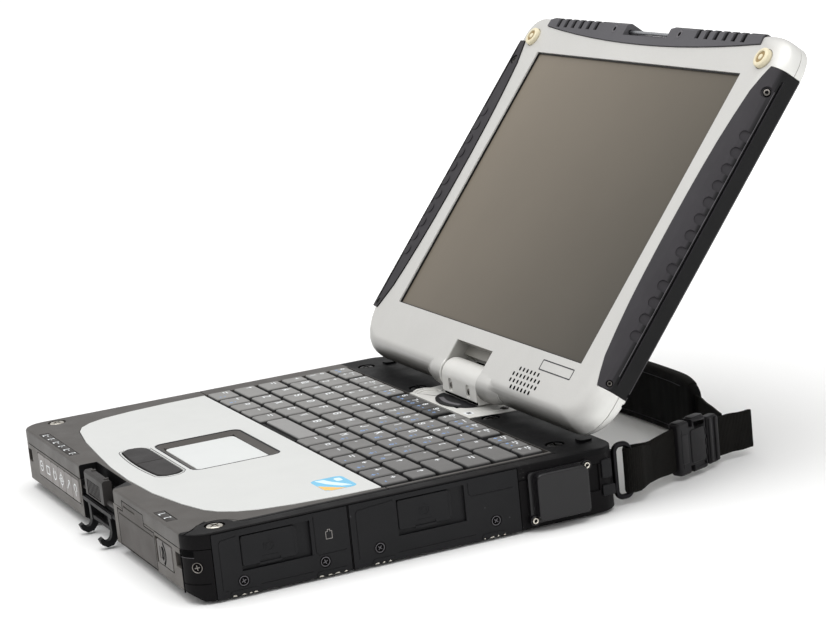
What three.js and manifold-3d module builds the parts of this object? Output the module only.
// Rugged convertible laptop computer, its lid raised, as an assembly of separate solids.
// Millimetres, +Z up, +X to the user's right, +Y away from the user.
// Origin: centre of the base's footprint, on the desk.
import * as THREE from 'three';
import { mergeVertices } from 'three/addons/utils/BufferGeometryUtils.js';
import { ConvexGeometry } from 'three/addons/geometries/ConvexGeometry.js';
import Module from 'manifold-3d';

const wasm = await Module();
wasm.setup();

// ---------------------------------------------------------------- driving dimensions
const GAP = 0.3;                              // running gap between neighbouring pieces
const BASE_HALF_X = 135.5, BASE_HALF_Y = 108;
const BASE_CORNER_R = 12;                     // in plan
const Z_BOTTOM = 0.9, Z_SEAM = 24.8, Z_TOP = 32.0;
const HINGE_Y = 97.5, HINGE_Z = 43;           // tilt axis; the swivel axis crosses it at x = 0
const TILT_DEG = 51.73;                       // the lid's slope above the desk
const PLATE_TOP = 32.3;                       // top of the palm plate and the hinge plate
const BUTTON_FRONT = -108.3;                  // face of the front buttons and the latch lever

// open ends of cuts, all outside the piece being cut
const OUT_X = 140, OUT_Y = 120, OUT_Z = 40, UNDER = -5, FAR = 300;

// ---------------------------------------------------------------- solid helpers
function solid(geometry) {
  for (const key of Object.keys(geometry.attributes)) {
    if (key !== 'position') geometry.deleteAttribute(key);
  }
  const merged = mergeVertices(geometry, 1e-4);
  return new wasm.Manifold(new wasm.Mesh({
    numProp: 3,
    vertProperties: new Float32Array(merged.attributes.position.array),
    triVerts: new Uint32Array(merged.index.array),
  }));
}
const union = (...parts) => parts.reduce((sum, part) => sum.add(part));
const subtract = (body, ...cuts) => cuts.reduce((rest, cut) => rest.subtract(cut), body);
const intersect = (first, second) => first.intersect(second);

// x range on one side of the centre plane; side is 1 for right, -1 for left
const sideSpan = (side, inner, outer) => (side > 0 ? [inner, outer] : [-outer, -inner]);

// radius: one for all corners, or four in the order x0y0, x1y0, x1y1, x0y1
function roundRect(x0, x1, y0, y1, radius, segments) {
  const radii = Array.isArray(radius) ? radius : [radius, radius, radius, radius];
  const corners = [[x0, y0, 1, 1, 180], [x1, y0, -1, 1, 270], [x1, y1, -1, -1, 0], [x0, y1, 1, -1, 90]];
  return corners.flatMap(([x, y, inX, inY, startDeg], i) => {
    const points = [];
    for (let k = 0; k <= segments; k++) {
      const angle = (startDeg + 90 * k / segments) * Math.PI / 180;
      points.push([
        x + inX * radii[i] + radii[i] * Math.cos(angle),
        y + inY * radii[i] + radii[i] * Math.sin(angle),
      ]);
    }
    return points;
  });
}
function circle(x, y, radius, segments) {
  return Array.from({ length: segments }, (_, k) => {
    const angle = 2 * Math.PI * k / segments;
    return [x + radius * Math.cos(angle), y + radius * Math.sin(angle)];
  });
}
const shapeOf = (points) => new THREE.Shape(points.map(([x, y]) => new THREE.Vector2(x, y)));

function extrude(points, length, bevel, bevelSegments) {
  return new THREE.ExtrudeGeometry(shapeOf(points), {
    depth: length - 2 * bevel,
    bevelEnabled: bevel > 0,
    bevelThickness: bevel,
    bevelSize: bevel,
    bevelOffset: -bevel,
    bevelSegments,
    steps: 1,
  }).translate(0, 0, bevel);
}
// prisms along Z from (x,y), along X from (y,z), along Y from (x,z)
const AXIS_X = new THREE.Vector3(1, 0, 0);
const AXIS_Y = new THREE.Vector3(0, 1, 0);
const AXIS_Z = new THREE.Vector3(0, 0, 1);
const ALONG_X = new THREE.Matrix4().makeBasis(AXIS_Y, AXIS_Z, AXIS_X);
const ALONG_Y = new THREE.Matrix4().makeBasis(AXIS_X, AXIS_Z, AXIS_Y.clone().negate());
const prismZ = (points, z0, z1, bevel = 0, bevelSegments = 2) =>
  solid(extrude(points, z1 - z0, bevel, bevelSegments).translate(0, 0, z0));
const prismX = (points, x0, x1, bevel = 0, bevelSegments = 2) =>
  solid(extrude(points, x1 - x0, bevel, bevelSegments).applyMatrix4(ALONG_X).translate(x0, 0, 0));
const prismY = (points, y0, y1) =>
  solid(extrude(points, y1 - y0, 0, 2).applyMatrix4(ALONG_Y).translate(0, y1, 0));
const rodZ = (x, y, radius, z0, z1, segments) => prismZ(circle(x, y, radius, segments), z0, z1);
const rodX = (y, z, radius, x0, x1, segments) => prismX(circle(y, z, radius, segments), x0, x1);
function box(x0, x1, y0, y1, z0, z1) {
  return solid(new THREE.BoxGeometry(x1 - x0, y1 - y0, z1 - z0)
    .translate((x0 + x1) / 2, (y0 + y1) / 2, (z0 + z1) / 2));
}
const slab = (z0, z1) => box(-FAR, FAR, -FAR, FAR, z0, z1);

// outline of a ribbon along a path of [x, y, half width]
function ribbon(path) {
  const left = [], right = [];
  path.forEach(([x, y, half], i) => {
    const before = path[Math.max(0, i - 1)], after = path[Math.min(path.length - 1, i + 1)];
    const length = Math.hypot(after[0] - before[0], after[1] - before[1]);
    const normalX = -(after[1] - before[1]) / length;
    const normalY = (after[0] - before[0]) / length;
    left.push([x + normalX * half, y + normalY * half]);
    right.push([x - normalX * half, y - normalY * half]);
  });
  return [...right, ...left.reverse()];
}
const band = (path, thickness, z0, z1) =>
  prismZ(ribbon(path.map(([x, y]) => [x, y, thickness / 2])), z0, z1);

// ---------------------------------------------------------------- scene graph
const laptop = new THREE.Group();
const lid = new THREE.Group();
lid.position.set(0, HINGE_Y, HINGE_Z);
lid.rotation.x = TILT_DEG * Math.PI / 180;
laptop.add(lid);

function addPiece(name, piece, { color, roughness = 0.6, metalness = 0 }, parent = laptop) {
  const { vertProperties, triVerts } = piece.getMesh();
  const geometry = new THREE.BufferGeometry();
  geometry.setAttribute('position', new THREE.BufferAttribute(new Float32Array(vertProperties), 3));
  geometry.setIndex(new THREE.BufferAttribute(new Uint32Array(triVerts), 1));
  geometry.computeVertexNormals();
  const material = new THREE.MeshStandardMaterial({ color, roughness, metalness, flatShading: true });
  const mesh = new THREE.Mesh(geometry, material);
  mesh.name = name;
  parent.add(mesh);
}
const addLidPiece = (name, piece, finish) => addPiece(name, piece, finish, lid);

// ---------------------------------------------------------------- doors and covers: shared sizes
// A door is a slab hinged at its lower outer edge; its inner lower corner is cut back to swing.
const doorProfile = (side, outer, z0, z1, thickness) => [
  [side * outer, z0], [side * outer, z1], [side * (outer - thickness), z1],
  [side * (outer - thickness), z0 + 1.6], [side * (outer - thickness + 1.1), z0],
];
// right-hand doors; recess and latch are [y0, y1, z0, z1], dimples are [y, z]
const SIDE_DOOR_Z0 = 1.0, SIDE_DOOR_Z1 = 31.0, SIDE_DOOR_T = 2.7;
const BATTERY_DOOR = {
  y0: -96.5, y1: -31.6,
  recess: [-83.6, -50.0, 11.8, 28.2],
  dimples: [[-83.5, 7.4], [-44.3, 7.7]],
  latch: [-83.2, -57.0, 13.6, 27.6],
};
const DRIVE_DOOR = {
  y0: -30.6, y1: 54.3,
  recess: [-7.4, 26.6, 11.8, 28.8],
  dimples: [[-17.4, 8.4], [41.4, 8.8]],
  latch: [-7.0, 19.4, 14.2, 28.2],
};
// left cover runs along y, rear cover along x
const PORT_Z0 = 5.0, PORT_Z1 = 22.5, PORT_COVER_T = 2.4, PORT_SEAT = 2.8;
const PORT_SEAT_Z0 = PORT_Z0 - 1.4;
const LEFT_PORT_Y0 = -40, LEFT_PORT_Y1 = 62;
const REAR_PORT_X0 = -108, REAR_PORT_X1 = 98;

const sideDoorPocket = ({ y0, y1 }) => box(
  BASE_HALF_X - SIDE_DOOR_T - GAP, OUT_X, y0 - GAP, y1 + GAP, UNDER, SIDE_DOOR_Z1 + GAP);

// front slot cover outline (x,z): wide lower part with a narrower upper tab
const slotCoverOutline = (gap) => [
  [33 - gap, 6.2 - gap], [88 + gap, 6.2 - gap], [88 + gap, 23.6 + gap], [73.3 + gap, 23.6 + gap],
  [73.3 + gap, 28.8 + gap], [41.5 - gap, 28.8 + gap], [41.5 - gap, 23.6 + gap], [33 - gap, 23.6 + gap],
];

// ---------------------------------------------------------------- base casing: shared cuts
const baseBlock = () => prismZ(
  roundRect(-BASE_HALF_X, BASE_HALF_X, -BASE_HALF_Y, BASE_HALF_Y, BASE_CORNER_R, 5),
  Z_BOTTOM, Z_TOP, 1.1, 2);
const CAVITY_X = [-131.5, 130.6];
const CAVITY_BACK = 104.5;

// latch notch in the front, its upper part splayed on the right
const NOTCH_X = 27, NOTCH_Y = -98.5;
const NOTCH_TOP_OUTLINE = [
  [-27.6, NOTCH_Y], [21.5, NOTCH_Y], [29, -108.2], [29, -OUT_Y], [-27.6, -OUT_Y],
];
const SLOT_COVER_SEAT_Y = -104.9;
const bothCaseCuts = [
  box(-NOTCH_X, NOTCH_X, -OUT_Y, NOTCH_Y, UNDER, Z_SEAM + 0.15),
  prismZ(NOTCH_TOP_OUTLINE, Z_SEAM, OUT_Z),
  sideDoorPocket(BATTERY_DOOR),
  sideDoorPocket(DRIVE_DOOR),
  prismY(slotCoverOutline(GAP), -OUT_Y, SLOT_COVER_SEAT_Y),
  box(33 - GAP, 88 + GAP, -OUT_Y, SLOT_COVER_SEAT_Y, 5.2, 7),
  // shallow slots at the front and rear of the right-hand side
  box(134.0, OUT_X, -108.4, -101.6, 25.2, 29.6),
  box(134.3, OUT_X, 90.6, 96.6, 12.0, 25.2),
];

// cross pins of the lid latch, [y, z] of each axis
const LEVER_AXIS = [-105.8, 21];
const HOOK_AXIS = [-106.5, 16];
const PIN_HALF_X = 28.8;
const PIN_BORE_HALF_X = PIN_HALF_X + 0.4;

// ---------------------------------------------------------------- bottom case
// lower front edge, cut back as a slope (y,z)
const FRONT_CHAMFER = [[-130, -3], [-100.5, -3], [-100.5, 0.4], [-108.6, 5.9], [-130, 5.9]];

// tilted block that cuts a facet across a lower corner
const cornerWedge = (sideX, sideY) => solid(new THREE.BoxGeometry(40, 80, 20)
  .rotateY(-0.62)
  .translate(178.2, 0, -3.2)
  .rotateZ(Math.atan2(sideY, sideX)));

function bottomCase() {
  const shell = subtract(
    intersect(baseBlock(), slab(UNDER, Z_SEAM)),
    prismX(FRONT_CHAMFER, -FAR, FAR),
    cornerWedge(1, -1), cornerWedge(-1, -1), cornerWedge(1, 1), cornerWedge(-1, 1),
    box(...CAVITY_X, -96, CAVITY_BACK, 3.0, OUT_Z),
    // battery bay and drive bay openings behind the doors
    box(120, OUT_X, -93, -35, 3.6, OUT_Z),
    box(120, OUT_X, -27, 51, 3.6, OUT_Z),
    ...bothCaseCuts,
    rodX(...HOOK_AXIS, 1.45, -PIN_BORE_HALF_X, PIN_BORE_HALF_X, 12),
    rodX(...LEVER_AXIS, 1.5, -PIN_BORE_HALF_X, PIN_BORE_HALF_X, 12),
    // square holes near the front corners
    ...[1, -1].map((side) => box(...sideSpan(side, 117.6, 125.6), -OUT_Y, -102.6, 15.4, 22.2)),
    // pockets for the row of tablet buttons and for the wireless switch
    box(-105.2, -31, -OUT_Y, -103.2, 11.0, 23.8),
    box(89.2, 113.0, -OUT_Y, -105.0, 10.6, 23.0),
    // seats of the left and rear port covers
    box(-OUT_X, -(BASE_HALF_X - PORT_SEAT), LEFT_PORT_Y0 - GAP, LEFT_PORT_Y1 + GAP,
      PORT_SEAT_Z0, PORT_Z1 + GAP),
    box(REAR_PORT_X0 - GAP, REAR_PORT_X1 + GAP, BASE_HALF_Y - PORT_SEAT, OUT_Y,
      PORT_SEAT_Z0, PORT_Z1 + GAP),
  );
  // partitions beside and between the battery and drive bays
  return union(shell, box(58, 60, -95, 52, 2.5, 20), box(59, CAVITY_X[1], -31.8, -30.2, 2.5, 20));
}
addPiece('bottom_case', bottomCase(), { color: 0x2b2b2e, metalness: 0.1 });

// ---------------------------------------------------------------- top case, palm plate, touchpad
// palm plate outline (x,y), from the left rear corner round the front to the right rear
const palmOutline = (gap) => [
  [-121.4 - gap, -8.2 + gap], [-120.6 - gap, -30], [-118.2 - gap, -52], [-114.6 - gap, -68],
  [-110 - gap, -77], [-103.5 - gap, -83.4 - gap], [-96 - gap, -86.6 - gap], [-70, -91 - gap],
  [-38.5, -94 - gap], [-10, -96.4 - gap], [19, -97 - gap], [51, -95.4 - gap], [80, -90.6 - gap],
  [97 + gap, -86 - gap], [104.5 + gap, -81.6 - gap], [110.5 + gap, -75], [115 + gap, -66],
  [118.4 + gap, -50], [120.8 + gap, -30], [121.6 + gap, -8.2 + gap],
];
const padIsland = (gap) =>
  roundRect(-35.9 - gap, 27.9 + gap, -66.3 - gap, -20.3 + gap, 4.7 + gap, 3);

// sloped well round the touchpad, widening from its floor to the top of the island
function touchpadWell() {
  const floorZ = 30.3, rimZ = 32.0, widening = 4.2;
  return solid(new THREE.ExtrudeGeometry(shapeOf(roundRect(-31, 23, -62, -24.6, 3, 3)), {
    depth: 20,
    bevelEnabled: true,
    bevelThickness: rimZ - floorZ,
    bevelSize: widening,
    bevelOffset: 0,
    bevelSegments: 1,
    steps: 1,
  }).translate(0, 0, rimZ));
}

// boat-shaped pair of buttons: straight back edge, bowed front edge, round ends
const PAD_BUTTON_X0 = -36.4, PAD_BUTTON_X1 = 27.2;
const PAD_BUTTON_STATIONS = [-34.5, -31, -20, -4.6, 11, 22, 25.3];
function padButtonOutline(x0, x1, gap) {
  // value at the very ends, near the ends, or between them
  const byPlace = (x, end, shoulder, middle) => {
    if (x <= -36 || x >= 27) return end;
    return x <= -34 || x >= 25 ? shoulder : middle;
  };
  const widen = (x) => byPlace(x, x + Math.sign(x) * gap, x, x);
  const stations = [x0, ...PAD_BUTTON_STATIONS.filter((x) => x > x0 && x < x1), x1];
  const front = stations.map((x) => {
    const bowed = -84.9 + 2.2 * Math.pow((x + 4.6) / 32, 2);
    return [widen(x), byPlace(x, -79.6, -82, bowed) - gap];
  });
  const back = stations.map((x) => [widen(x), byPlace(x, -75.6, -72.4, -70.6) + gap]);
  return [...front, ...back.reverse()];
}
const padButtonPair = (gap) => padButtonOutline(PAD_BUTTON_X0, PAD_BUTTON_X1, gap);

const hingePlateOutline = (gap) => [
  [-38.2 - gap, 77.6 - gap], [35.2 + gap, 77.6 - gap],
  [39.2 + gap, 103.9 + gap], [-42.2 - gap, 103.9 + gap],
];
const swivelHole = rodZ(0, HINGE_Y, 6.3, 20, OUT_Z, 24);
const lockSlot = box(-14.4, 12.4, 81.6, 88.4, 28, OUT_Z);

// screw counterbores, [x, y]
const CASE_SCREWS = [
  [-127.2, -90], [124, -90.4], [-116.5, 86.2], [112, 86.4], [-47, 86.4], [42, 86.4],
];
// seam of the right-hand corner cap, [x, y]
const CORNER_SEAM = [
  [127.2, 79], [127.2, -75.5], [125, -79.2], [120, -81.8], [117.2, -86],
  [116.8, -92], [119, -97], [124.4, -101.2], [131.4, -110],
];
const SEAM_FLOOR = 31.5;

function topCase() {
  const palmSeat = subtract(prismZ(palmOutline(GAP), 30.9, OUT_Z), prismZ(padIsland(0), 30, 50));
  const shell = subtract(
    intersect(baseBlock(), slab(Z_SEAM + GAP, OUT_Z)),
    box(...CAVITY_X, -95.5, CAVITY_BACK, 20, 29.4),
    ...bothCaseCuts,
    box(-122.6, 122.6, -7.9, 77.8, 20, OUT_Z),                // keyboard well
    palmSeat,
    touchpadWell(),
    prismZ(padButtonPair(0.35), 20, OUT_Z),
    box(-31.2, 23.2, -62.2, -24.4, 20, OUT_Z),                // touchpad opening
    prismZ(hingePlateOutline(0.4), 30.7, OUT_Z),
    swivelHole,
    rodZ(0, HINGE_Y, 8.8, 20, 29.4, 24),                      // room for the swivel flange
    lockSlot,
    ...CASE_SCREWS.map(([x, y]) => rodZ(x, y, 4.9, 29.7, OUT_Z, 14)),
    // indicator windows along the front
    box(-107, -50, -105.8, -100.6, 31.2, OUT_Z),
    box(84, 103, -105.8, -100.4, 31.2, OUT_Z),
    band(CORNER_SEAM, 0.6, SEAM_FLOOR, OUT_Z),
    // seams between palm rest and keyboard surround
    box(-137, -122.4, -6.9, -6.3, SEAM_FLOOR, OUT_Z),
    box(122.4, 127.3, -6.9, -6.3, SEAM_FLOOR, OUT_Z),
  );
  // low stops near the rear corners
  const stops = [-1, 1].map((side) =>
    prismZ(roundRect(...sideSpan(side, 112, 119), 96.5, 103.5, 2, 3), 31, 32.9));
  return union(shell, ...stops);
}
addPiece('top_case', topCase(), { color: 0x47474a, roughness: 0.55, metalness: 0.15 });

const palmPlate = subtract(
  prismZ(palmOutline(0), 31.2, PLATE_TOP),
  prismZ(padIsland(GAP), 25, OUT_Z),
  prismZ(padButtonPair(1.1), 25, OUT_Z),
);
addPiece('palm_plate', palmPlate, { color: 0xe9eae8, roughness: 0.5, metalness: 0.1 });

// touchpad: flat plate at the bottom of the sloped well
addPiece('touchpad', prismZ(roundRect(-30.8, 22.8, -61.8, -24.8, 2.6, 3), 28.6, 30.4),
  { color: 0xdfe0de, roughness: 0.45, metalness: 0.1 });

const padButton = (x0, x1) => prismZ(padButtonOutline(x0, x1, 0), 28.6, 32.9);
const PAD_BUTTON_FINISH = { color: 0x39393b, roughness: 0.5 };
addPiece('touchpad_button_left', padButton(PAD_BUTTON_X0, -4.9), PAD_BUTTON_FINISH);
addPiece('touchpad_button_right', padButton(-4.5, PAD_BUTTON_X1), PAD_BUTTON_FINISH);

const hingePlate = subtract(prismZ(hingePlateOutline(0), 31.0, PLATE_TOP), swivelHole, lockSlot);
addPiece('hinge_plate', hingePlate, { color: 0xcfd0d2, roughness: 0.35, metalness: 0.8 });

// D-shaped slider (x,y): flat back edge, bowed front edge, stem in the plate's slot
const LOCK_OUTLINE = [
  [-21.5, 90.4], [-21.3, 88.2], [-19.2, 85], [-15, 82], [-9, 79.6], [-2, 78.7],
  [5, 79.6], [11, 82], [15.8, 85], [18.2, 88.2], [18.5, 90.4],
];
addPiece('swivel_lock',
  union(prismZ(LOCK_OUTLINE, 32.5, 32.95), box(-14, 8, 82, 88, 29.6, 32.7)),
  { color: 0x111113, roughness: 0.25 });

// ---------------------------------------------------------------- keyboard
const KEY_Z0 = 29.7, KEY_WEB = 30.5, KEY_TOP = 32.7;   // underside, carrier web top, cap top
const KEY_FINISH = { color: 0x6f6f71 };
addPiece('keyboard_tray', box(-122.2, 122.2, -7.5, 77.4, 26.0, 27.4),
  { color: 0x1c1c1e, roughness: 0.7 });

// rows from back to front: y0, y1, then [x0, x1] of each key cap
const KEY_ROWS = {
  key_row_function: [65.4, 76.4, [
    [-121.6, -109.8], [-109.0, -96.6], [-93.0, -80.4], [-79.6, -67.2], [-66.4, -54.0],
    [-53.2, -40.8], [-36.0, -23.6], [-22.8, -10.6], [-9.8, 2.6], [3.4, 16.4], [22.6, 34.6],
    [35.6, 48.0], [48.8, 61.2], [62.2, 74.8], [80.4, 92.4], [93.4, 105.6], [106.6, 119.4]]],
  key_row_number: [50.9, 63.4, [
    [-121.4, -104.0], [-102.2, -86.0], [-84.2, -68.0], [-66.2, -50.0], [-48.2, -32.0],
    [-30.0, -13.8], [-11.8, 4.4], [6.6, 22.6], [25.0, 41.2], [43.2, 59.4], [61.6, 77.0],
    [78.8, 92.4], [94.4, 119.6]]],
  key_row_top: [36.8, 49.2, [
    [-121.4, -111.0], [-109.2, -94.0], [-92.2, -75.8], [-73.6, -57.6], [-55.4, -39.6],
    [-37.6, -21.8], [-19.6, -3.6], [-1.4, 14.8], [17.0, 33.4], [35.4, 51.6], [53.6, 68.6],
    [70.2, 83.4], [85.2, 100.4], [102.2, 119.6]]],
  key_row_home: [22.7, 35.0, [
    [-121.4, -104.6], [-101.2, -85.6], [-83.6, -67.6], [-65.2, -49.2], [-47.2, -31.4],
    [-28.8, -12.8], [-10.4, 5.4], [7.4, 23.4], [25.6, 41.6], [43.4, 59.6], [61.6, 76.6],
    [78.6, 93.2], [95.2, 119.6]]],
  key_row_lower: [8.6, 20.9, [
    [-121.4, -97.0], [-94.0, -78.4], [-75.8, -60.0], [-57.8, -41.8], [-39.6, -23.6],
    [-21.4, -5.4], [-3.2, 12.8], [15.0, 31.2], [33.4, 49.4], [51.4, 67.4], [69.2, 80.8],
    [82.8, 104.0], [106.8, 119.6]]],
};
const BOTTOM_ROW_Y0 = -6.6, BOTTOM_ROW_Y1 = 6.8;
const BOTTOM_ROW_KEYS = [
  [-121.4, -104.8], [-102.2, -88.0], [-85.8, -71.6], [-69.4, -54.8], [-52.8, -39.6],
  [10.8, 25.4], [27.4, 38.8], [40.6, 55.0], [57.4, 71.0], [73.4, 87.6], [90.0, 105.0],
  [107.2, 119.6],
];

// comb profile (x,z): caps on a thin carrier web
function keyComb(keys) {
  const profile = [[keys[0][0], KEY_Z0], [keys[keys.length - 1][1], KEY_Z0]];
  [...keys].reverse().forEach(([x0, x1], i) => {
    if (i > 0) profile.push([x1, KEY_WEB]);
    profile.push([x1, KEY_TOP], [x0, KEY_TOP]);
    if (i < keys.length - 1) profile.push([x0, KEY_WEB]);
  });
  return profile;
}
for (const [name, [y0, y1, keys]] of Object.entries(KEY_ROWS)) {
  addPiece(name, prismY(keyComb(keys), y0, y1), KEY_FINISH);
}
// the bottom row's web is only a strip along the front, clear of the space bar
addPiece('key_row_bottom', union(
  box(BOTTOM_ROW_KEYS[0][0], BOTTOM_ROW_KEYS.at(-1)[1], BOTTOM_ROW_Y0, -4.7, KEY_Z0, KEY_WEB),
  ...BOTTOM_ROW_KEYS.map(([x0, x1]) => box(x0, x1, BOTTOM_ROW_Y0, BOTTOM_ROW_Y1, KEY_Z0, KEY_TOP)),
), KEY_FINISH);
addPiece('space_bar', box(-37.6, 8.8, -4.2, BOTTOM_ROW_Y1, KEY_Z0, KEY_TOP), { color: 0x77777a });

// ---------------------------------------------------------------- inside the base
const BOARD_OUTLINE = [[-128, -88], [57, -88], [57, 60], [126, 60], [126, 100], [-128, 100]];
addPiece('mainboard', prismZ(BOARD_OUTLINE, 9.0, 10.6), { color: 0x1d5b38, roughness: 0.7 });
addPiece('wireless_card', box(-112, -62, 30, 62, 12.0, 14.6), { color: 0x2a6b48 });

const fins = Array.from({ length: 6 }, (_, i) =>
  box(-46 + i * 15, -44 + i * 15, 4, 66, 13.0, 20));
addPiece('heat_spreader', union(box(-50, 40, 0, 70, 12.0, 13.4), ...fins),
  { color: 0xb7b9bd, roughness: 0.4, metalness: 0.8 });

addPiece('memory_module', prismZ(roundRect(-20, 48, -78, -46, 1.5, 2), 12.0, 15.4),
  { color: 0x23583c });
addPiece('battery_pack', prismZ(roundRect(62, 131.8, -92.5, -35.5, 2, 2), 4.2, 22.6),
  { color: 0x26262a });
addPiece('hard_drive', prismZ(roundRect(62, 131.8, -26.5, 50.5, 2, 2), 4.2, 14.0),
  { color: 0xa9abae, roughness: 0.4, metalness: 0.6 });

// ---------------------------------------------------------------- side doors, port covers
function sideDoor({ y0, y1, recess, dimples }) {
  const profile = doorProfile(1, BASE_HALF_X, SIDE_DOOR_Z0, SIDE_DOOR_Z1, SIDE_DOOR_T);
  return subtract(
    prismY(profile, y0, y1),
    box(133.9, OUT_X, ...recess),
    ...dimples.map(([y, z]) => rodX(y, z, 2.9, 134.9, OUT_X, 12)),
  );
}
// slide latch: a plate with a small notch in the middle of its lower edge
function slideLatch({ latch: [y0, y1, z0, z1] }) {
  const middle = (y0 + y1) / 2;
  return subtract(
    prismX(roundRect(y0, y1, z0, z1, 1.2, 3), 134.2, BASE_HALF_X, 0.3, 1),
    box(135.1, OUT_X, middle - 5, middle + 5, z0 - 1, z0 + 1.6),
  );
}
const DOOR_FINISH = { color: 0x242427, roughness: 0.5, metalness: 0.2 };
const SLIDE_FINISH = { color: 0x1f1f22, roughness: 0.4, metalness: 0.2 };
const PORT_FINISH = { color: 0x1e1e20, roughness: 0.7 };
addPiece('battery_door', sideDoor(BATTERY_DOOR), DOOR_FINISH);
addPiece('drive_door', sideDoor(DRIVE_DOOR), DOOR_FINISH);
addPiece('battery_door_latch', slideLatch(BATTERY_DOOR), SLIDE_FINISH);
addPiece('drive_door_latch', slideLatch(DRIVE_DOOR), SLIDE_FINISH);

const portProfile = (side, outer) => doorProfile(side, outer, PORT_Z0, PORT_Z1, PORT_COVER_T);
addPiece('left_port_cover',
  prismY(portProfile(-1, BASE_HALF_X), LEFT_PORT_Y0, LEFT_PORT_Y1), PORT_FINISH);
addPiece('rear_port_cover',
  prismX(portProfile(1, BASE_HALF_Y), REAR_PORT_X0, REAR_PORT_X1), PORT_FINISH);

// raised cover on a flange, with round lugs at two opposite corners
addPiece('module_cover', union(
  prismX(roundRect(58.6, 90.2, 3.6, 28.2, 1.6, 2), 135.8, 137.4),
  prismX(roundRect(61.2, 88.4, 4.6, 27.6, 3.4, 4), 136, 141.5, 1.2, 2),
  rodX(89.0, 26.4, 2.4, 136, 138.6, 12),
  rodX(60.0, 5.4, 2.4, 136, 138.6, 12),
), { color: 0x1d1e22, roughness: 0.4 });

// ---------------------------------------------------------------- front: cover, buttons, switch
addPiece('front_slot_cover', prismY(slotCoverOutline(0), -BASE_HALF_Y, -105.6), { color: 0x4a4745 });
const TABLET_BUTTON_X = [-104.9, -92.7, -80.4, -68.1, -55.8, -43.5];   // left edges
TABLET_BUTTON_X.forEach((x, i) => {
  const outline = roundRect(x, x + 11.8, 11.5, 23.3, 0.8, 2);
  addPiece(`tablet_button_${i + 1}`, prismY(outline, BUTTON_FRONT, -104.4), { color: 0x8d8a86 });
});
addPiece('wireless_switch',
  prismY(roundRect(92.0, 112.5, 11.1, 22.5, 0.8, 2), BUTTON_FRONT, -105.4),
  { color: 0x8f8c88, roughness: 0.5 });

// ---------------------------------------------------------------- lid latch: lever and hook bail
const LEVER_PROFILE = [
  [BUTTON_FRONT, 19.8], [-103.4, 19.8], [-103.4, 31.2],
  [-104.1, 31.9], [-107.3, 31.9], [BUTTON_FRONT, 30.9],
];
function latchLever() {
  const plate = subtract(prismX(LEVER_PROFILE, -18, 12), box(-14.2, 6.4, -110, -107.6, 20.4, 28.2));
  // ribs standing in the sunk grip field
  const ribs = Array.from({ length: 8 }, (_, i) =>
    box(-13.2 + i * 2.4, -12 + i * 2.4, -108.1, -107.4, 20.8, 27.8));
  return union(plate, rodX(...LEVER_AXIS, 1.2, -PIN_HALF_X, PIN_HALF_X, 12), ...ribs);
}
addPiece('latch_lever', latchLever(), { color: 0x2a2a2c });

// J-shaped hook: y and z from the pin axis, half width
const HOOK_PATH = [
  [0, 0, 1.5], [0.3, -4, 1.5], [0.4, -8.5, 1.5], [-0.2, -11.5, 1.6],
  [-1.8, -13.4, 1.6], [-3.9, -13.8, 1.5], [-5.7, -12.8, 1.3], [-6.8, -10.7, 1.0],
];
// two hooks hanging from a round cross bar, tied by two flat bars
function latchHook() {
  const [axisY, axisZ] = HOOK_AXIS;
  const profile = ribbon(HOOK_PATH.map(([y, z, half]) => [axisY + y, axisZ + z, half]));
  return union(
    rodX(axisY, axisZ, 1.15, -PIN_HALF_X, PIN_HALF_X, 12),
    prismX(profile, 13.6, 17.4),
    prismX(profile, -18.8, -15.0),
    box(-26.4, 20.4, axisY - 1.5, axisY + 1.2, axisZ - 1.1, axisZ + 0.9),
    box(-17, 15.5, axisY - 0.7, axisY + 1.1, 7.4, 9.4),
  );
}
addPiece('latch_hook', latchHook(), { color: 0x242426, roughness: 0.5 });

// ---------------------------------------------------------------- feet
// one moulded rubber skid (x,y): front and rear strips joined by a middle rib
const SKID_OUTLINE = [
  [-100, -88], [100, -88], [100, -80], [6, -80], [6, 80], [100, 80],
  [100, 88], [-100, 88], [-100, 80], [-6, 80], [-6, -80], [-100, -80],
];
addPiece('rubber_skid', prismZ(SKID_OUTLINE, 0, 0.6), { color: 0x1b1b1b, roughness: 0.9 });

// ---------------------------------------------------------------- carrying strap
const WEBBING_T = 1.8;
const strapRing = (side) => subtract(
  prismX(roundRect(108.7, 117.6, 2.6, 30.6, 2.8, 3), ...sideSpan(side, 125.4, 128.4)),
  prismX(roundRect(111.1, 115.2, 5.2, 28.0, 1.4, 2), -FAR, FAR),
);
const RING_FINISH = { color: 0x2a2a2c, roughness: 0.4, metalness: 0.4 };
addPiece('strap_ring_right', strapRing(1), RING_FINISH);
addPiece('strap_ring_left', strapRing(-1), RING_FINISH);

// strap paths, [x, y]
const WEBBING_RIGHT = [[126.8, 118.2], [123.8, 126], [119.4, 134], [114.6, 143], [110.6, 150.6]];
const WEBBING_LEFT = [
  [-126.8, 118.2], [-124, 132], [-118, 150], [-106, 170], [-90, 186], [-77.5, 193.6],
];
const PAD_PATH = [[-66, 196], [-60, 196.6], [-30, 198.6], [0, 199.6], [30, 199], [46, 197.3]];
const PAD_WEBBING = [[52, 196.4], [66, 194.6], [80, 190.8], [95.2, 187.4]];
const FOLDED_TAIL = [[97.5, 182.8], [95.8, 187.2], [94.8, 193], [93.6, 199], [92.8, 206]];
const WEBBING_FINISH = { color: 0x1a1817, roughness: 0.9 };
addPiece('strap_webbing_right', band(WEBBING_RIGHT, WEBBING_T, 4.2, 27.0), WEBBING_FINISH);
addPiece('strap_webbing_left', band(WEBBING_LEFT, WEBBING_T, 4.2, 27.0), WEBBING_FINISH);

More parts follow.
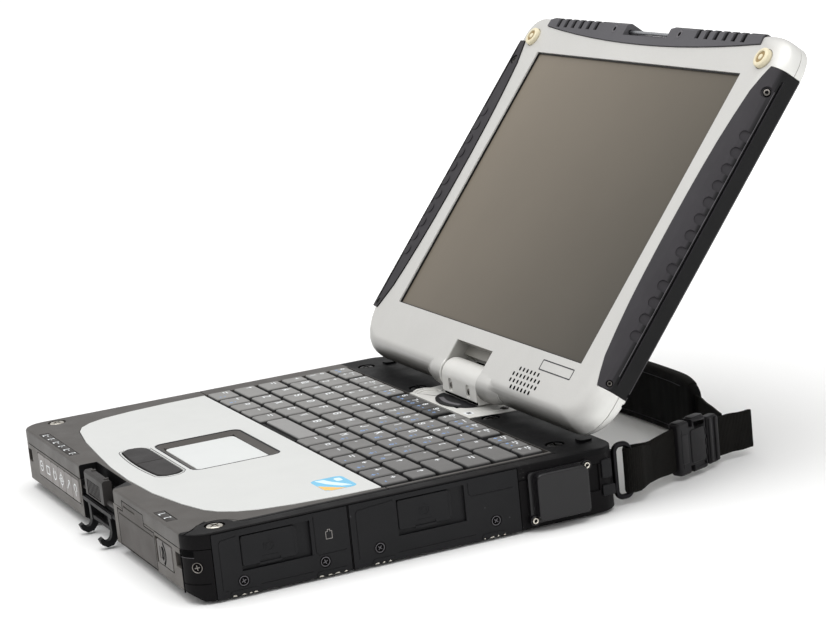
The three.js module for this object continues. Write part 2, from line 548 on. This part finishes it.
// frame along a line: its length, and a map from [along, across] to [x, y]
function lineFrame([x0, y0], [x1, y1]) {
  const angle = Math.atan2(y1 - y0, x1 - x0);
  const cos = Math.cos(angle), sin = Math.sin(angle);
  const place = (points) => points.map(([along, across]) =>
    [x0 + along * cos - across * sin, y0 + along * sin + across * cos]);
  return { length: Math.hypot(x1 - x0, y1 - y0), place };
}
const BUCKLE_FINISH = { color: 0x38363a, roughness: 0.5 };

// side-release buckle, with a cross slot in its top and bottom edges
function strapBuckle() {
  const { length, place } = lineFrame([110.2, 151.6], [102.6, 171.6]);
  const from = length * 0.36, to = length * 0.50;
  const slot = place([[from, -6], [to, -6], [to, 6], [from, 6]]);
  return subtract(
    prismZ(place(roundRect(0, length, -3.4, 3.4, 1.6, 3)), 2.2, 28.6, 0.8, 1),
    prismZ(slot, 25.2, OUT_Z),
    prismZ(slot, UNDER, 6.0),
  );
}
addPiece('strap_buckle', strapBuckle(), BUCKLE_FINISH);

function strapAdjuster() {
  const { length, place } = lineFrame([101.8, 173.6], [98.4, 181.1]);
  return prismZ(place(roundRect(0, length, -2.4, 2.4, 1.2, 2)), 2.4, 26.6, 0.6, 1);
}
addPiece('strap_adjuster', strapAdjuster(), BUCKLE_FINISH);

// padded part of the strap with its narrower ends, webbing and folded tail
addPiece('strap_pad', union(
  band(PAD_PATH, 8, 1.0, 32.3),
  band([[-76.5, 194.4], [-60, 196.6]], 7, 3.5, 28.5),
  band([[40, 198], [57.5, 195.8]], 7, 3.5, 28.5),
  band(PAD_WEBBING, WEBBING_T, 4.0, 24.4),
  band(FOLDED_TAIL, 3.2, 3.4, 23.4),
), { color: 0x1c1a19, roughness: 0.95 });

// ---------------------------------------------------------------- swivel bracket
const SHAFT_R = 2.2, BORE_R = 2.5;
function swivelBracket() {
  const halfX = 20.3;
  const body = union(
    rodX(HINGE_Y, HINGE_Z, 8, -halfX, halfX, 24),
    box(-halfX, halfX, HINGE_Y - 7, HINGE_Y + 7, 33.3, HINGE_Z),
    box(-halfX, halfX, HINGE_Y - 8, HINGE_Y, 35.0, HINGE_Z),
    rodZ(0, HINGE_Y, 6.0, 26.4, 36, 24),      // swivel post
    rodZ(0, HINGE_Y, 8.4, 26.2, 29.0, 24),    // its flange, inside the base
  );
  return subtract(body, rodX(HINGE_Y, HINGE_Z, BORE_R, -30, 30, 16));
}
addPiece('swivel_bracket', swivelBracket(), { color: 0xc9cacc, roughness: 0.35, metalness: 0.7 });

// ---------------------------------------------------------------- lid
// Lid frame: x across, y up the lid, z out of the screen, origin on the tilt axis.
const LID_HALF_X = 135.5, LID_Y0 = -6.5, LID_Y1 = 207.5;
const LID_Z0 = -8.5, LID_Z1 = 8.0, LID_SEAM = -3.0;
const LID_CORNERS = [23, 18, 14, 11];
const RAIL_TOP = LID_Z1 + 0.6, GRIP_TOP = LID_Z1 + 0.8;
const WINDOW_HALF_X = 108, WINDOW_Y0 = 24.2, WINDOW_Y1 = 184.8;
const OUT_LID_Z = 20, OUT_LID_Y = 230;

// The lower edge rolls under, the right-hand edge rolls back, the others are slightly broken.
const BACK_BREAK = { from: -7.1, depth: 1.4, inset: 1.5 };
const FRONT_BREAK = { from: 3.4, depth: 4.6, inset: 2.6 };
const SIDE_ROLL = { from: 0.1, inset: 14.5 };
const quarterRound = (inset, ratio) => inset * (1 - Math.sqrt(Math.max(0, 1 - Math.pow(ratio, 2))));
const rollUnder = (z) => quarterRound(9,
  (z - LID_SEAM) / (z >= LID_SEAM ? LID_Z1 - LID_SEAM : LID_SEAM - LID_Z0));
const rollSide = (z, top) => (z > SIDE_ROLL.from
  ? quarterRound(SIDE_ROLL.inset, (z - SIDE_ROLL.from) / (top - SIDE_ROLL.from)) : 0);
function brokenEdge(z) {
  if (z < BACK_BREAK.from) return BACK_BREAK.inset * (BACK_BREAK.from - z) / BACK_BREAK.depth;
  if (z <= FRONT_BREAK.from) return 0;
  return FRONT_BREAK.inset * Math.pow((z - FRONT_BREAK.from) / FRONT_BREAK.depth, 2);
}
const LID_LEVELS = [-8.5, -8.1, -7.1, -5.4, -3, 0.1, 2.2, 3.9, 5.4, 6.5, 7.3, 7.8];
const lidLevel = (z, top) => roundRect(
  -LID_HALF_X + brokenEdge(z), LID_HALF_X - Math.max(brokenEdge(z), rollSide(z, top)),
  LID_Y0 + rollUnder(z), LID_Y1 - brokenEdge(z), LID_CORNERS, 6,
).map(([x, y]) => new THREE.Vector3(x, y, z));
const lidHull = (top) =>
  solid(new ConvexGeometry([...LID_LEVELS, top].flatMap((z) => lidLevel(z, top))));
const lidBlock = lidHull(LID_Z1);

// knuckles round the tilt axis, fading into the chin beside the bracket: radius, distance out
const KNUCKLE_PROFILE = [
  [0, 21.3], [8.2, 21.3], [8.8, 21.9], [8.8, 29], [8.2, 34], [6.2, 42], [0, 46],
];
const knuckle = (side) => solid(new THREE.LatheGeometry(
  KNUCKLE_PROFILE.map(([radius, out]) => new THREE.Vector2(radius, out)), 28,
).rotateZ(-Math.PI / 2 * side));

// outline of a side rail, open outwards; its inner edge bows inwards at mid height
function railOutline(side, grow) {
  const y0 = 17.4 - grow, y1 = 190.6 + grow, steps = 12;
  const inner = [];
  for (let k = 0; k <= steps; k++) {
    const along = k / steps;
    const bow = 7.4 * Math.pow(Math.abs(2 * along - 1), 2.3);
    const endStep = k === 0 || k === steps ? 2.4 : 0;
    inner.push([side * (119.4 + bow + endStep - grow), y0 + (y1 - y0) * along]);
  }
  return [...inner, [side * 150, y1], [side * 150, y0]];
}
// tongue of the lid that fills the hollow of a rail
const railTongue = (side, grow) => box(
  ...sideSpan(side, 100, 131.1 + grow), 20.7 - grow, 187.3 + grow, -5.3 - grow, 1.9 + grow);
function rail(side) {
  // the right-hand rail follows the rolled edge, the left-hand one has a flat face
  const block = side > 0 ? lidHull(RAIL_TOP) : prismZ(
    roundRect(-LID_HALF_X, LID_HALF_X, LID_Y0, LID_Y1, LID_CORNERS, 6), LID_Z0, RAIL_TOP, 1.0, 2);
  return subtract(
    intersect(prismZ(railOutline(side, 0), LID_Z0, RAIL_TOP), block),
    intersect(prismZ(railOutline(side, 10), -OUT_LID_Z, OUT_LID_Z), railTongue(side, GAP)),
  );
}
const railCut = (side) => subtract(
  prismZ(railOutline(side, GAP), -OUT_LID_Z, OUT_LID_Z), railTongue(side, 0));

// top grip outline: its lower edge is a shallow curve, lowest at the middle
function gripOutline(gap) {
  const curve = [];
  for (let k = 0; k <= 12; k++) {
    const across = -1 + 2 * k / 12;
    curve.push([across * (112 + gap), 195.0 - gap + 6.2 * across * across]);
  }
  return [...curve, [108, OUT_LID_Y], [-108, OUT_LID_Y]];
}
const latchNotch = box(-23, 23, 199.6, OUT_LID_Y, -OUT_LID_Z, OUT_LID_Z);
const bothShellCuts = [
  // room for the swivel bracket
  box(-21.0, 21.0, -30, 10.5, -OUT_LID_Z, OUT_LID_Z),
  box(-21.0, 21.0, 5, 15.4, 0.5, OUT_LID_Z),
  latchNotch,
  railCut(1),
  railCut(-1),
];
const displayCavity = (z0, z1) => box(-117.6, 117.6, 19, 192.4, z0, z1);
const speakerChamber = (z0, z1) => box(50, 82, 1.2, 14.0, z0, z1);
const BUMPERS = { left: [-121.8, 193.6], right: [121.0, 193.6] };

// rows of speaker slots in the chin: count, y
const SPEAKER_ROWS = [[6, 12.0], [8, 8.6], [8, 5.2], [6, 1.9]];
const speakerSlots = SPEAKER_ROWS.flatMap(([count, y]) => Array.from({ length: count }, (_, k) => {
  const x = 66 + (k - (count - 1) / 2) * 3.9;
  return box(x - 0.65, x + 0.65, Math.max(y - 0.95, 1.3), Math.min(y + 0.95, 13.9), 4, OUT_LID_Z);
}));

const SHELL_FINISH = { roughness: 0.45, metalness: 0.5 };
addLidPiece('display_bezel', subtract(
  intersect(union(lidBlock, knuckle(1), knuckle(-1)), slab(LID_SEAM, OUT_LID_Z)),
  box(-WINDOW_HALF_X, WINDOW_HALF_X, WINDOW_Y0, WINDOW_Y1, -OUT_LID_Z, OUT_LID_Z),
  displayCavity(-OUT_LID_Z, 6.5),
  prismZ(gripOutline(GAP), LID_SEAM - 5, OUT_LID_Z),
  ...bothShellCuts,
  rodX(0, 0, BORE_R, -37, 37, 16),
  ...Object.values(BUMPERS).map(([x, y]) => rodZ(x, y, 5.6, 6.0, OUT_LID_Z, 20)),
  speakerChamber(-OUT_LID_Z, 5.6),
  ...speakerSlots,
), { color: 0xd3d5d6, ...SHELL_FINISH });

addLidPiece('display_rear_cover', subtract(
  intersect(lidBlock, slab(-OUT_LID_Z, LID_SEAM - GAP)),
  displayCavity(-6.9, OUT_LID_Z),
  speakerChamber(-6.0, OUT_LID_Z),
  ...bothShellCuts,
), { color: 0xc9cbcc, ...SHELL_FINISH });

const screenLayer = (z0, z1) => box(-114, 114, 20.4, 190, z0, z1);
addLidPiece('touch_glass', screenLayer(4.9, 6.2), { color: 0x6a635b, roughness: 0.12 });
addLidPiece('lcd_panel', screenLayer(-2.4, 4.6), { color: 0x2a2a2a, roughness: 0.5 });
addLidPiece('speaker', prismZ(roundRect(51, 81, 2.2, 13.0, 3, 3), -5.0, 5.0),
  { color: 0x151515, roughness: 0.7 });

// latch rod across the notch, [y, z]
const ROD_AXIS = [203.2, 5.2];
// grip section (y,z), with its upper outer edge broken
const GRIP_PROFILE = [
  [150, LID_SEAM], [LID_Y1, LID_SEAM], [LID_Y1, LID_Z1 - 1.4],
  [LID_Y1 - 2.2, GRIP_TOP], [150, GRIP_TOP],
];
const GRIP_SLOTS = [[-99.4, 8.7], [51.9, 8.76]];   // first x, pitch
const gripSlots = GRIP_SLOTS.flatMap(([first, pitch]) => Array.from({ length: 6 }, (_, k) => {
  const x = first + k * pitch;
  return box(x - 1.9, x + 1.9, 201.0, OUT_LID_Y, 3.0, OUT_LID_Z);
}));
addLidPiece('top_grip', subtract(
  intersect(prismZ(gripOutline(0), LID_SEAM, GRIP_TOP), prismX(GRIP_PROFILE, -FAR, FAR)),
  latchNotch,
  rodX(...ROD_AXIS, 1.4, -25.6, 25.6, 10),
  ...gripSlots,
), { color: 0x5b5a5c, roughness: 0.75 });
addLidPiece('latch_rod', rodX(...ROD_AXIS, 1.0, -25.2, 25.2, 10),
  { color: 0xb0b0b0, roughness: 0.35, metalness: 0.8 });

addLidPiece('rail_right', rail(1), { color: 0x262528 });
addLidPiece('rail_left', rail(-1), { color: 0x262528 });
addLidPiece('hinge_shaft', rodX(0, 0, SHAFT_R, -36.6, 36.6, 16),
  { color: 0xa8a8a8, roughness: 0.3, metalness: 0.9 });
for (const [side, [x, y]] of Object.entries(BUMPERS)) {
  addLidPiece(`lid_bumper_${side}`, prismZ(circle(x, y, 5.2, 16), 6.3, 10.4, 0.5, 1),
    { color: 0xe6d9ae, roughness: 0.7 });
}

export default laptop;
